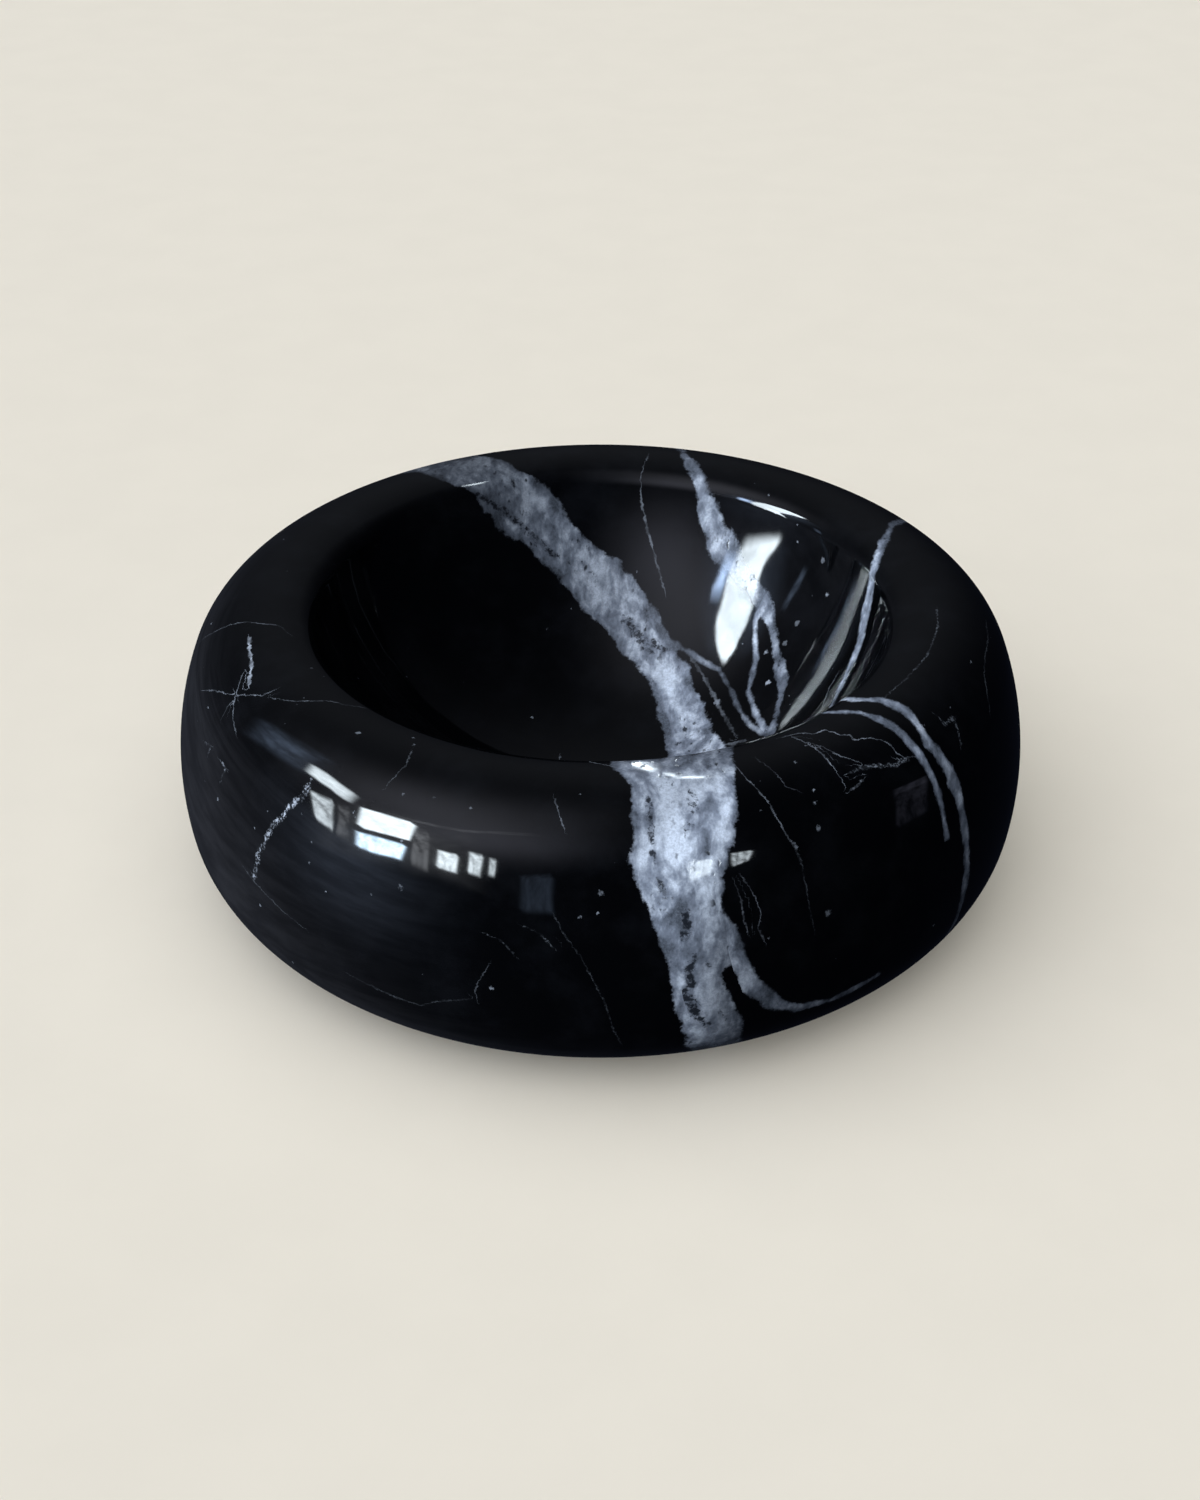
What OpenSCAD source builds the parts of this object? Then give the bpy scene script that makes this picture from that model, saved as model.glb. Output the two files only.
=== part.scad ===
// A heavy round bowl turned from one block of black stone that white calcite veins run through.
// The veins part the black stone into blocks. Each block and each vein is one solid here, and
// they meet face to face. The middle of the flat foot is the origin, and the front is at -Y.

/* [Bowl] */
// Outside diameter at the widest part of the wall
outer_d = 200; // [184:1:240]
// Overall height
height = 68; // [62:1:78]
// Height of the widest part of the wall
belly_z = 30; // [26:1:34]
// Radius of the outside curve at the widest part
belly_r = 70; // [60:1:90]
// Radius that rounds the outside under to the foot
foot_r = 24; // [18:1:26]
// Radius of the rounded top of the rim
rim_r = 20; // [18:1:24]
// How much of the rounding the flat foot cuts away
foot_cut = 0.6; // [0.3:0.1:1.5]

/* [Hollow] */
// Width of the rim, from the widest part of the wall to the mouth of the hollow
rim_w = 34; // [30:1:36]
// Thickness of the stone under the middle of the hollow
floor_t = 17; // [12:1:24]
// Radius that rounds the rim over into the hollow
lip_r = 6; // [4:0.5:8]

/* [Veins] */
// Thickness of the vein that runs up the back wall
back_vein_w = 4.5; // [2:0.5:7]
// Thickness of the strand that loops beside the back vein
loop_vein_w = 2; // [1:0.25:3]
// Thickness of the strand from the main vein across to the loop
cross_vein_w = 1.5; // [1:0.25:3]
// Thickness of the vein that branches off low on the front
branch_vein_w = 3.2; // [1.5:0.1:5]
// Thickness of the vein through the right side
right_vein_w = 2.2; // [1:0.1:4]
// Thickness of the strand beside the right vein, on the front of the rim
twin_vein_w = 1.4; // [0.8:0.1:2.5]
// Depth of the branch vein, measured back from the front of the bowl
branch_vein_depth = 32; // [26:1:40]
// Depth of the strand beside the right vein, measured down from the top
twin_vein_depth = 24; // [16:1:30]

/* [Hidden] */
$fn = 180;
stone_black = "#17181c";
calcite_white = "#c8ccd8";

// How far a cutting shape runs past the stone that it cuts
overrun = 6;
// Added to the radius of an arc that touches the next one, so that the two cross
arc_overlap = 0.002;
// How far the slab under the front of the main vein runs on under the slab behind it
join_overlap = 0.5;
outer_r = outer_d / 2;
mouth_r = outer_r - rim_w;

// Centres of the arcs that make the section, as [distance from the axis, height]
belly_c = [outer_r - belly_r, belly_z];
foot_c_z = foot_r - foot_cut;
foot_c = [belly_c.x + sqrt(pow(belly_r - foot_r, 2) - pow(belly_z - foot_c_z, 2)), foot_c_z];
rim_c = [
    belly_c.x + sqrt(pow(belly_r - rim_r, 2) - pow(height - rim_r - belly_z, 2)),
    height - rim_r
];
// The hollow is part of a ball that passes through the mouth and the middle of the floor
hollow_depth = height - lip_r - floor_t;
hollow_r = (mouth_r * mouth_r + hollow_depth * hollow_depth) / (2 * hollow_depth);
hollow_c = [0, floor_t + hollow_r];
// The lip's arc touches the rim's arc from inside and the ball of the hollow from outside
lip_c = upper_meeting(rim_c, rim_r - lip_r, hollow_c, hollow_r + lip_r);

// Where each arc hands over to the next, as an angle about its own centre
foot_to_belly_a = bearing(belly_c, foot_c);
belly_to_rim_a = bearing(belly_c, rim_c);
rim_to_lip_a = bearing(rim_c, lip_c);
lip_to_hollow_a = bearing(lip_c, hollow_c);

// The front of the main vein leans, so its edges are drawn as seen from the front.
// Each point is [share of the outer radius, share of the height].
front_left_shares = [
    [0.068, 1.10], [0.064, 0.98], [0.063, 0.86], [0.110, 0.75],
    [0.153, 0.58], [0.170, 0.40], [0.198, 0.25], [0.225, -0.10]
];
front_right_shares = [
    [0.276, 1.10], [0.272, 0.98], [0.257, 0.84], [0.250, 0.72],
    [0.260, 0.56], [0.294, 0.36], [0.317, 0.25], [0.345, -0.10]
];
// Behind the join the main vein stands upright, so its edges are drawn as seen from above.
// Each point is [share of the outer radius, share of the outer radius].
join_share = -0.05;
plan_left_shares = [
    [0.198, -0.05], [0.167, 0.08], [0.138, 0.255], [0.101, 0.356], [-0.001, 0.454],
    [-0.105, 0.54], [-0.208, 0.578], [-0.308, 0.577], [-0.45, 0.629], [-0.58, 0.72], [-0.75, 0.88]
];
plan_right_shares = [
    [0.317, -0.05], [0.285, 0.08], [0.250, 0.22], [0.227, 0.326], [0.140, 0.471],
    [0.051, 0.569], [-0.027, 0.599], [-0.105, 0.634], [-0.20, 0.67], [-0.40, 0.83], [-0.56, 1.02]
];
// Thin veins follow a line. Each point is [share, share, share of the vein's thickness].
back_line_shares = [
    [0.165, 1.06, 0.7], [0.190, 0.90, 0.7], [0.222, 0.729, 0.7], [0.268, 0.60, 1.1],
    [0.320, 0.520, 1.2], [0.370, 0.450, 0.8], [0.415, 0.379, 0.7], [0.436, 0.275, 0.6],
    [0.449, 0.150, 0.7], [0.432, 0.061, 0.6], [0.409, -0.010, 0.6], [0.380, -0.070, 0.3]
];
loop_line_shares = [
    [0.412, 0.390, 0.8], [0.390, 0.354, 1.0], [0.389, 0.258, 1.0], [0.367, 0.187, 1.1],
    [0.378, 0.120, 0.9], [0.390, 0.065, 0.9], [0.408, -0.005, 0.8]
];
cross_line_shares = [
    [0.140, 0.430, 1.2], [0.228, 0.358, 1.2], [0.299, 0.286, 1.0], [0.329, 0.211, 0.9],
    [0.345, 0.140, 1.0], [0.365, 0.070, 0.9], [0.405, -0.012, 0.9]
];
right_line_shares = [
    [0.900, 0.640, 0.8], [0.800, 0.500, 0.8], [0.720, 0.355, 0.9], [0.663, 0.194, 0.9],
    [0.639, 0.107, 0.8], [0.616, 0.029, 0.9], [0.585, -0.024, 0.9], [0.544, -0.096, 0.8],
    [0.515, -0.200, 0.8], [0.500, -0.320, 0.8], [0.510, -0.420, 0.9], [0.545, -0.465, 1.0],
    [0.602, -0.474, 1.0], [0.653, -0.501, 1.1], [0.702, -0.568, 1.5], [0.748, -0.582, 1.3],
    [0.796, -0.595, 1.1], [0.920, -0.610, 1.0]
];
twin_line_shares = [
    [0.470, -0.500, 0.5], [0.502, -0.513, 0.8], [0.554, -0.525, 1.0], [0.625, -0.563, 1.1],
    [0.677, -0.604, 1.2], [0.712, -0.628, 1.0], [0.790, -0.680, 0.8]
];
// The branch vein is drawn as seen from the front: the second share is of the height
branch_line_shares = [
    [0.225, 0.70, 0.9], [0.259, 0.626, 0.9], [0.282, 0.518, 1.1], [0.309, 0.413, 1.1],
    [0.366, 0.312, 1.1], [0.422, 0.257, 0.9], [0.490, 0.237, 0.5], [0.545, 0.249, 0.6],
    [0.600, 0.265, 0.3]
];

function bearing(from, to) = atan2(to.y - from.y, to.x - from.x);
function toward(a) = [cos(a), sin(a)];

// The higher of the two points that lie r1 from c1 and r2 from c2
function upper_meeting(c1, r1, c2, r2) =
    let (gap = norm(c2 - c1))
    let (along = (r1 * r1 - r2 * r2 + gap * gap) / (2 * gap))
    let (aside = sqrt(r1 * r1 - along * along))
    let (dir = (c2 - c1) / gap)
    c1 + along * dir + aside * [dir.y, -dir.x];

function reversed(points) = [for (i = [len(points) - 1:-1:0]) points[i]];
function plan_points(shares) = [for (s = shares) [s.x * outer_r, s.y * outer_r]];
function front_points(shares) = [for (s = shares) [s.x * outer_r, s.y * height]];

// Unit vector square to a line of points at point i
function square_to(points, i) =
    let (before = points[max(i - 1, 0)])
    let (after = points[min(i + 1, len(points) - 1)])
    let (run = after - before)
    [-run.y, run.x] / norm(run);

// One side of a vein: a line of points moved aside by half the vein's thickness there
function edge_points(points, shares, width, side) = [
    for (i = [0:len(points) - 1])
        points[i] + side * width / 2 * shares[i][2] * square_to(points, i)
];
function strip_points(points, shares, width) =
    concat(edge_points(points, shares, width, 1), reversed(edge_points(points, shares, width, -1)));

// A line half way between two edges that are given as shares
function middle_shares(left, right) = [
    for (i = [0:min(len(left), len(right)) - 1]) (left[i] + right[i]) / 2
];

// A slice of a disc between two bearings
module pie(centre, radius, from_a, to_a) {
    reach = 2 * radius;
    intersection() {
        translate(centre)
            circle(r = radius);
        polygon([
            centre,
            centre + reach * toward(from_a),
            centre + reach * toward((from_a + to_a) / 2),
            centre + reach * toward(to_a)
        ]);
    }
}

// The stone between the arcs. Its corners lie well inside the arcs, or past what is cut off.
module core() {
    over_lip = hollow_c - (hollow_r - lip_r) * toward(lip_to_hollow_a);
    under_rim = rim_c + rim_r / 2 * toward((belly_to_rim_a + rim_to_lip_a) / 2);
    polygon([
        [-overrun, -overrun],
        [foot_c.x, -overrun],
        belly_c + [belly_r - lip_r, 0],
        under_rim,
        lip_c,
        over_lip,
        [-overrun, over_lip.y]
    ]);
}

// Half of the bowl's section, to the right of its axis and above the ground
module section() {
    intersection() {
        square([outer_d, outer_d]);
        union() {
            difference() {
                union() {
                    core();
                    pie(belly_c, belly_r, foot_to_belly_a, belly_to_rim_a);
                }
                translate(hollow_c)
                    circle(r = hollow_r);
            }
            translate(foot_c)
                circle(r = foot_r + arc_overlap);
            pie(rim_c, rim_r + arc_overlap, 0, rim_to_lip_a);
            translate(lip_c)
                circle(r = lip_r + 2 * arc_overlap);
        }
    }
}

module bowl() {
    rotate_extrude()
        section();
}

// Upright slab over an outline that is seen from above, from a height to past the rim
module upright(points, from_z = -overrun) {
    translate([0, 0, from_z])
        linear_extrude(height + overrun - from_z)
            polygon(points);
}

// Level slab behind an outline that is seen from the front, back to a distance from the axis
module level(points, to_y) {
    translate([0, to_y, 0])
        rotate([90, 0, 0])
            linear_extrude(outer_r + overrun + to_y)
                polygon(points);
}

// Slabs that the veins are cut from
module main_slab() {
    front = concat(front_points(front_left_shares), reversed(front_points(front_right_shares)));
    plan = concat(plan_points(plan_left_shares), reversed(plan_points(plan_right_shares)));
    level(front, join_share * outer_r + join_overlap);
    upright(plan);
}

module back_slab() {
    upright(strip_points(plan_points(back_line_shares), back_line_shares, back_vein_w));
}

module loop_slab() {
    upright(strip_points(plan_points(loop_line_shares), loop_line_shares, loop_vein_w));
}

module cross_slab() {
    upright(strip_points(plan_points(cross_line_shares), cross_line_shares, cross_vein_w));
}

module branch_slab() {
    line = front_points(branch_line_shares);
    level(strip_points(line, branch_line_shares, branch_vein_w), branch_vein_depth - outer_r);
}

module right_slab() {
    upright(strip_points(plan_points(right_line_shares), right_line_shares, right_vein_w));
}

module twin_slab() {
    line = plan_points(twin_line_shares);
    upright(strip_points(line, twin_line_shares, twin_vein_w), height - twin_vein_depth);
}

// Spaces on one side of the veins, whose edges run down the middle of a vein
module left_space() {
    front = front_points(middle_shares(front_left_shares, front_right_shares));
    plan = plan_points(middle_shares(plan_left_shares, plan_right_shares));
    far = -outer_r - overrun;
    front_ends = [[far, front[len(front) - 1].y], [far, front[0].y]];
    level(concat(front, front_ends), join_share * outer_r + join_overlap);
    upright(concat([[far, join_share * outer_r]], plan, [[far, -far]]));
}

module back_space() {
    main_line = plan_points(middle_shares(plan_left_shares, plan_right_shares));
    back_line = plan_points(back_line_shares);
    loop_line = plan_points(loop_line_shares);
    cross_line = plan_points(cross_line_shares);
    upright(concat(
        [for (p = main_line) if (p.y > cross_line[0].y) p],
        [for (p = back_line) if (p.y > loop_line[0].y) p],
        loop_line,
        reversed(cross_line)
    ));
}

module island_space() {
    back_line = plan_points(back_line_shares);
    loop_line = plan_points(loop_line_shares);
    loop_end = loop_line[len(loop_line) - 1];
    upright(concat(
        [for (p = back_line) if (p.y < loop_line[0].y && p.y > loop_end.y) p],
        reversed(loop_line)
    ));
}

module right_space() {
    line = plan_points(right_line_shares);
    far = outer_r + overrun;
    upright(concat(line, [[far, line[len(line) - 1].y], [far, line[0].y]]));
}

// The blocks of black stone
module black_stone_left() {
    color(stone_black)
        difference() {
            intersection() {
                bowl();
                left_space();
            }
            main_slab();
        }
}

module black_stone_back() {
    color(stone_black)
        difference() {
            intersection() {
                bowl();
                back_space();
            }
            main_slab();
            back_slab();
            loop_slab();
            cross_slab();
        }
}

module black_stone_island() {
    color(stone_black)
        difference() {
            intersection() {
                bowl();
                island_space();
            }
            back_slab();
            loop_slab();
        }
}

module black_stone_right() {
    color(stone_black)
        difference() {
            intersection() {
                bowl();
                right_space();
            }
            right_slab();
        }
}

module black_stone_front() {
    color(stone_black)
        difference() {
            bowl();
            left_space();
            back_space();
            island_space();
            right_space();
            main_slab();
            back_slab();
            loop_slab();
            cross_slab();
            branch_slab();
            right_slab();
            twin_slab();
        }
}

// The white veins
module main_vein() {
    color(calcite_white)
        intersection() {
            bowl();
            main_slab();
        }
}

module back_vein() {
    color(calcite_white)
        intersection() {
            bowl();
            back_slab();
        }
}

module loop_vein() {
    color(calcite_white)
        difference() {
            intersection() {
                bowl();
                loop_slab();
            }
            back_slab();
        }
}

module cross_vein() {
    color(calcite_white)
        difference() {
            intersection() {
                bowl();
                cross_slab();
            }
            main_slab();
            back_slab();
            loop_slab();
        }
}

module branch_vein() {
    color(calcite_white)
        difference() {
            intersection() {
                bowl();
                branch_slab();
            }
            main_slab();
        }
}

module right_vein() {
    color(calcite_white)
        intersection() {
            bowl();
            right_slab();
        }
}

module twin_vein() {
    color(calcite_white)
        intersection() {
            bowl();
            twin_slab();
        }
}

black_stone_left();
black_stone_back();
black_stone_front();
black_stone_right();
black_stone_island();
main_vein();
back_vein();
loop_vein();
cross_vein();
branch_vein();
right_vein();
twin_vein();
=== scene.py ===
"""Looks for a heavy round bowl of polished black stone with white calcite veins.

Each block and vein of the frame is dressed by a finer skin of its own. One marble material, set out
in space and not per piece, runs through all of them, so that it has no seams where they meet.
The reflections come from glowing panes, which are placed through the photograph's camera.
"""
import math
import random

import bpy
import numpy as np
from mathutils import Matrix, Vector
from mathutils.bvhtree import BVHTree


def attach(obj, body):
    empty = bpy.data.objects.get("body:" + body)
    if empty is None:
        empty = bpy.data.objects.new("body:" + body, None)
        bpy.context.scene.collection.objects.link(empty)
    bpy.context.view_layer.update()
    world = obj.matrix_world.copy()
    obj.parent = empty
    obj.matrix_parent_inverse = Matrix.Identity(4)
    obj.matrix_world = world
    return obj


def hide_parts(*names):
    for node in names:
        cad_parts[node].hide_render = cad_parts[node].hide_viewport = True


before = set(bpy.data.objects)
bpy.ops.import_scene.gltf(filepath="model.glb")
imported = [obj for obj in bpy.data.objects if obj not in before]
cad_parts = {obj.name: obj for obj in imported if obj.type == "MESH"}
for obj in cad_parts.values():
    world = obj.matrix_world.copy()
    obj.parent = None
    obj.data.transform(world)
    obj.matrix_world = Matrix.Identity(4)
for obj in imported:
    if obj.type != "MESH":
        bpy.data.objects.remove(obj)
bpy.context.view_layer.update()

MM = 0.001

# Section of the bowl, in metres. The arcs touch each other, as the turned stone has no edges.
OUTER_R = 100 * MM
HEIGHT = 68 * MM
BELLY_Z = 30 * MM
BELLY_R = 70 * MM
FOOT_R = 24 * MM
FOOT_CUT = 0.6 * MM
RIM_R = 20 * MM
RIM_W = 34 * MM
FLOOR_T = 17 * MM
LIP_R = 6 * MM

# How the photograph was taken: its size in pixels, the camera's height and distance, and where
# the middle of the bowl lies in it
PHOTO_W = 1200
PHOTO_H = 1500
FOCAL_PX = 2283.5
AIM_PX = (600.5, 717.4)
CAMERA_DISTANCE = 0.55
CAMERA_ELEVATION = math.radians(31.99)
SENSOR_MM = 36

# Edge length of the fine skins: in plain places, high on the rim and lip, and near veins and hairlines
PLAIN_STEP = 2.0 * MM
LIP_STEP = 1.2 * MM
LIP_FROM = 58 * MM
FINE_STEP = 0.8 * MM
VEIN_STEP = 0.65 * MM

# The veins: how white they are, how much their edges wander, and how far the edges are drawn in, in
# millimetres. How white the main vein is, with painted shade in it, comes from the shares below instead.
VEINS = {
    "main_vein": (1.0, 0.9, 0),
    "back_vein": (0.65, 0.8, 0.6),
    "loop_vein": (0.90, 0.45, 0.4),
    "cross_vein": (0.60, 0.45, 0.3),
    "branch_vein": (0.50, 0.6, 0.0),
    "right_vein": (0.95, 0.55, 0.1),
    "twin_vein": (1.0, 0.5, 0.0),
}
# Whiteness of the main vein along it, from low on the front wall to the back: place in millimetres
# (how far behind the middle, less how far to the right of it), and share. The share is partly the
# calcite's own tone and partly painted shade: darker low on the front wall, where it turns under,
# and deep in the hollow.
MAIN_VEIN_ALONG = [-122, -116, -109, -103, -99, -89, -50, -11, 4, 31, 54, 75, 90, 110, 150]
MAIN_VEIN_WHITE_AND_SHADE = [0.36, 0.75, 1.0, 0.85, 0.62, 0.7, 0.9, 0.95, 1.0, 0.60, 0.42, 0.38, 0.22, 0.2, 0.8]
# How far the left and the right edge of the main vein lie to the left of the frame's on the front wall,
# by height, and how far the left one flares out on the lip, by the distance behind the middle (mm)
LEFT_SHIFT = ([44, 50, 56], [2.3, 1.8, 0])
RIGHT_SHIFT = ([28, 37, 41, 56], [2.3, 2.0, 0.3, 0])
LIP_FLARE = ([-82, -78, -73, -68, -62], [0, 1.6, 4.2, 4.2, 0])
BLACK_NODES = [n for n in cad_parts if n.startswith("black_stone")]


def turned(centre, angle, radius):
    """A point of the section at an angle on an arc."""
    return np.array([centre[0] + radius * math.cos(angle), centre[1] + radius * math.sin(angle)])


def bearing(start, end):
    return math.atan2(end[1] - start[1], end[0] - start[0])


def upper_meeting(c1, r1, c2, r2):
    """The higher of the two points that lie r1 from c1 and r2 from c2."""
    gap = math.dist(c1, c2)
    along = (r1 * r1 - r2 * r2 + gap * gap) / (2 * gap)
    aside = math.sqrt(r1 * r1 - along * along)
    way = (c2 - c1) / gap
    return c1 + along * way + aside * np.array([way[1], -way[0]])


def section_arcs():
    """The arcs of the section, from the foot to the floor of the hollow.

    Each is (centre, radius, first angle, last angle, side), and side is -1 where the stone
    lies outside the arc.
    """
    belly = np.array([OUTER_R - BELLY_R, BELLY_Z])
    foot_z = FOOT_R - FOOT_CUT
    foot = np.array([belly[0] + math.sqrt((BELLY_R - FOOT_R) ** 2 - (BELLY_Z - foot_z) ** 2), foot_z])
    rim_z = HEIGHT - RIM_R
    rim = np.array([belly[0] + math.sqrt((BELLY_R - RIM_R) ** 2 - (rim_z - BELLY_Z) ** 2), rim_z])
    mouth_r = OUTER_R - RIM_W
    depth = HEIGHT - LIP_R - FLOOR_T
    ball_r = (mouth_r ** 2 + depth ** 2) / (2 * depth)
    ball = np.array([0, FLOOR_T + ball_r])
    lip = upper_meeting(rim, RIM_R - LIP_R, ball, ball_r + LIP_R)
    foot_start = math.acos((FOOT_R - FOOT_CUT) / FOOT_R) - math.pi / 2
    to_belly = bearing(belly, foot)
    to_rim = bearing(belly, rim)
    to_lip = bearing(rim, lip)
    to_ball = bearing(lip, ball)
    return [
        (foot, FOOT_R, foot_start, to_belly, 1),
        (belly, BELLY_R, to_belly, to_rim, 1),
        (rim, RIM_R, to_rim, to_lip, 1),
        (lip, LIP_R, to_lip, to_ball, 1),
        (ball, ball_r, -math.pi / 2, to_ball - math.pi, -1),
    ]


ARCS = section_arcs()


def on_skin(points):
    """For each point, the nearest point of the turned surface above the foot, and its normal."""
    points = np.asarray(points, float).reshape(-1, 3)
    r = np.hypot(points[:, 0], points[:, 1])
    z = points[:, 2]
    best = np.full(len(points), np.inf)
    near = np.zeros((len(points), 2))
    normal = np.zeros((len(points), 2))
    for centre, radius, first, last, side in ARCS:
        angle = np.clip(np.arctan2(z - centre[1], r - centre[0]), first, last)
        way = np.stack([np.cos(angle), np.sin(angle)], -1)
        spot = centre + radius * way
        off = np.hypot(r - spot[:, 0], z - spot[:, 1])
        closer = off < best
        best[closer] = off[closer]
        near[closer] = spot[closer]
        normal[closer] = side * way[closer]
    turn = points[:, :2] / np.maximum(r, 1e-12)[:, None]
    place = np.column_stack([turn * near[:, :1], near[:, 1]])
    return place, np.column_stack([turn * normal[:, :1], normal[:, 1]]), best


# Camera

camera_back = Vector((0, -math.cos(CAMERA_ELEVATION), math.sin(CAMERA_ELEVATION)))
camera_up = Vector((0, math.sin(CAMERA_ELEVATION), math.cos(CAMERA_ELEVATION)))
camera_right = Vector((1, 0, 0))
bowl_middle = Vector((0, 0, HEIGHT / 2))
camera_place = bowl_middle + CAMERA_DISTANCE * camera_back


def make_camera():
    data = bpy.data.cameras.new("camera")
    data.sensor_width = SENSOR_MM
    data.lens = SENSOR_MM * FOCAL_PX / PHOTO_H
    data.shift_x = (PHOTO_W / 2 - AIM_PX[0]) / PHOTO_H
    data.shift_y = (AIM_PX[1] - PHOTO_H / 2) / PHOTO_H
    camera = bpy.data.objects.new("camera", data)
    camera.location = camera_place
    camera.rotation_euler = camera_back.to_track_quat("Z", "Y").to_euler()
    bpy.context.scene.collection.objects.link(camera)
    bpy.context.scene.camera = camera


make_camera()


# The frame's surface, for finding what a pixel of the photograph shows

def whole_bowl():
    """A search tree over the triangles of all nodes."""
    corners = []
    triangles = []
    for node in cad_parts.values():
        start = len(corners)
        corners.extend(v.co.copy() for v in node.data.vertices)
        triangles.extend([start + i for i in p.vertices] for p in node.data.polygons)
    return BVHTree.FromPolygons(corners, triangles)


whole_tree = whole_bowl()


def seen_at(x, y):
    """The point of the bowl that a pixel of the photograph shows, its normal and the line of sight."""
    sight = -camera_back * FOCAL_PX + camera_right * (x - AIM_PX[0]) - camera_up * (y - AIM_PX[1])
    sight.normalize()
    hit = whole_tree.ray_cast(camera_place, sight)[0]
    if hit is None:
        return None
    place, normal, _ = on_skin([hit])
    return Vector(place[0]), Vector(normal[0]), sight


# Fine hairlines, as they run in the photograph, in its pixels: name, width in millimetres, how white
# they are, how grainy they are (0 to 1), and their points

HAIRLINES = [
    ("left_rim_arc", 0.5, 0.30, 0.2,
     [(202, 640), (215, 632), (230, 625), (248, 622), (264, 624), (278, 625), (288, 633)]),
    ("left_bright_tick", 1.5, 1.0, 0.0, [(249, 638), (250, 655), (252, 664), (249, 684)]),
    ("left_level", 0.5, 0.5, 0.3, [(203, 690), (218, 691), (226, 694), (240, 695), (262, 696), (274, 690)]),
    ("left_level_on", 0.45, 0.30, 0.2,
     [(272, 698), (290, 701), (310, 701), (330, 701), (345, 705), (366, 708)]),
    ("left_cross_tick", 0.45, 0.4, 0.1, [(243, 674), (238, 688), (234, 702), (233, 718), (236, 733)]),
    ("left_twig", 0.4, 0.3, 0.1, [(234, 700), (228, 706), (223, 716)]),
    ("left_diagonal", 2.2, 1.0, 0.95,
     [(308, 786), (303, 796), (294, 803), (287, 808), (283, 817), (275, 824), (269, 833), (265, 843),
      (259, 851), (257, 862), (254, 878)]),
    ("left_tail", 0.5, 0.18, 0.5, [(243, 866), (253, 880), (266, 894), (284, 912), (304, 928)]),
    ("left_patch", 1.0, 0.35, 0.9, [(220, 760), (226, 768), (222, 778)]),
    ("left_chip", 0.8, 0.25, 0.9, [(205, 742), (211, 746), (209, 752)]),
    ("shoulder_faint", 0.45, 0.22, 0.4, [(411, 752), (406, 766), (395, 776), (388, 784)]),
    ("front_short", 0.5, 0.3, 0.3, [(555, 800), (559, 814), (564, 828)]),
    ("front_slant", 0.5, 0.12, 0.7,
     [(554, 916), (563, 932), (572, 945), (580, 956), (587, 969), (594, 982), (600, 994)]),
    ("front_slant_low", 0.6, 0.08, 0.8, [(603, 998), (608, 1012), (612, 1026), (620, 1042)]),
    ("front_hook", 0.6, 0.15, 0.4, [(488, 966), (480, 978), (475, 990), (477, 998)]),
    ("front_low", 0.6, 0.13, 0.6,
     [(350, 975), (380, 990), (400, 999), (420, 1005), (440, 1001), (468, 999)]),
    ("front_grain", 0.6, 0.15, 0.9, [(486, 934), (500, 940), (514, 954)]),
    ("front_grain_two", 0.6, 0.14, 0.9, [(524, 926), (540, 934), (552, 946)]),
    ("right_long_arc", 0.5, 0.42, 0.3,
     [(731, 762), (746, 778), (757, 789), (769, 804), (779, 822), (786, 835), (794, 846)]),
    ("right_blob", 1.6, 0.55, 0.3, [(791, 841), (797, 848)]),
    ("right_long_faint", 0.7, 0.10, 0.7, [(796, 850), (801, 862), (805, 882), (809, 905), (814, 930)]),
    ("right_jagged", 0.5, 0.6, 0.35,
     [(783, 737), (800, 733), (812, 734), (826, 730), (840, 735), (850, 735), (854, 740), (868, 738),
      (881, 740), (891, 745), (897, 754), (905, 758), (917, 756)]),
    ("right_arc_two", 0.55, 0.6, 0.1,
     [(794, 738), (808, 744), (820, 752), (829, 762), (837, 772), (843, 783)]),
    ("right_arc_three", 0.45, 0.4, 0.2, [(806, 742), (825, 748), (838, 755), (858, 762)]),
    ("right_crumbs", 1.4, 0.5, 0.9,
     [(850, 772), (862, 768), (872, 766), (884, 766), (897, 764), (908, 759)]),
    ("right_crumbs_low", 1.0, 0.4, 0.8, [(851, 790), (858, 785), (862, 781)]),
    ("right_faint", 0.4, 0.2, 0.3, [(758, 760), (770, 768), (786, 786), (796, 790)]),
    ("beside_vein_one", 0.5, 0.3, 0.5,
     [(743, 878), (750, 889), (757, 901), (761, 916), (758, 928), (764, 940)]),
    ("beside_vein_two", 0.5, 0.25, 0.6, [(735, 884), (741, 899), (743, 915), (748, 932)]),
    ("right_rim_crumbs", 1.4, 0.3, 0.9, [(937, 716), (945, 724), (953, 718), (958, 730), (960, 743)]),
    ("right_edge", 0.6, 0.2, 0.3, [(986, 622), (988, 640), (985, 656), (984, 674), (987, 694), (990, 712)]),
    ("right_inner_arc", 0.6, 0.22, 0.7,
     [(937, 610), (938, 626), (933, 641), (927, 656), (916, 668), (905, 680), (893, 690), (884, 698)]),
    ("inside_back", 1.0, 0.28, 0.1,
     [(648, 456), (641, 476), (641, 500), (647, 528), (655, 556), (665, 592)]),
    ("inside_hook", 2.0, 0.45, 0.3, [(706, 716), (702, 730), (706, 742), (722, 745), (744, 741)]),
    ("inside_strand", 1.6, 0.3, 0.3, [(692, 660), (704, 676), (714, 696), (724, 716), (736, 736)]),
    ("inside_by_right", 0.7, 0.35, 0.2, [(836, 676), (829, 688), (823, 704)]),
    # A painted highlight along the lip, drawn as a pale hairline on the black stone
    ("lip_highlight_line", 0.6, 0.8, 0.3, [(560, 757), (590, 762), (618, 768)]),
]

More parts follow.
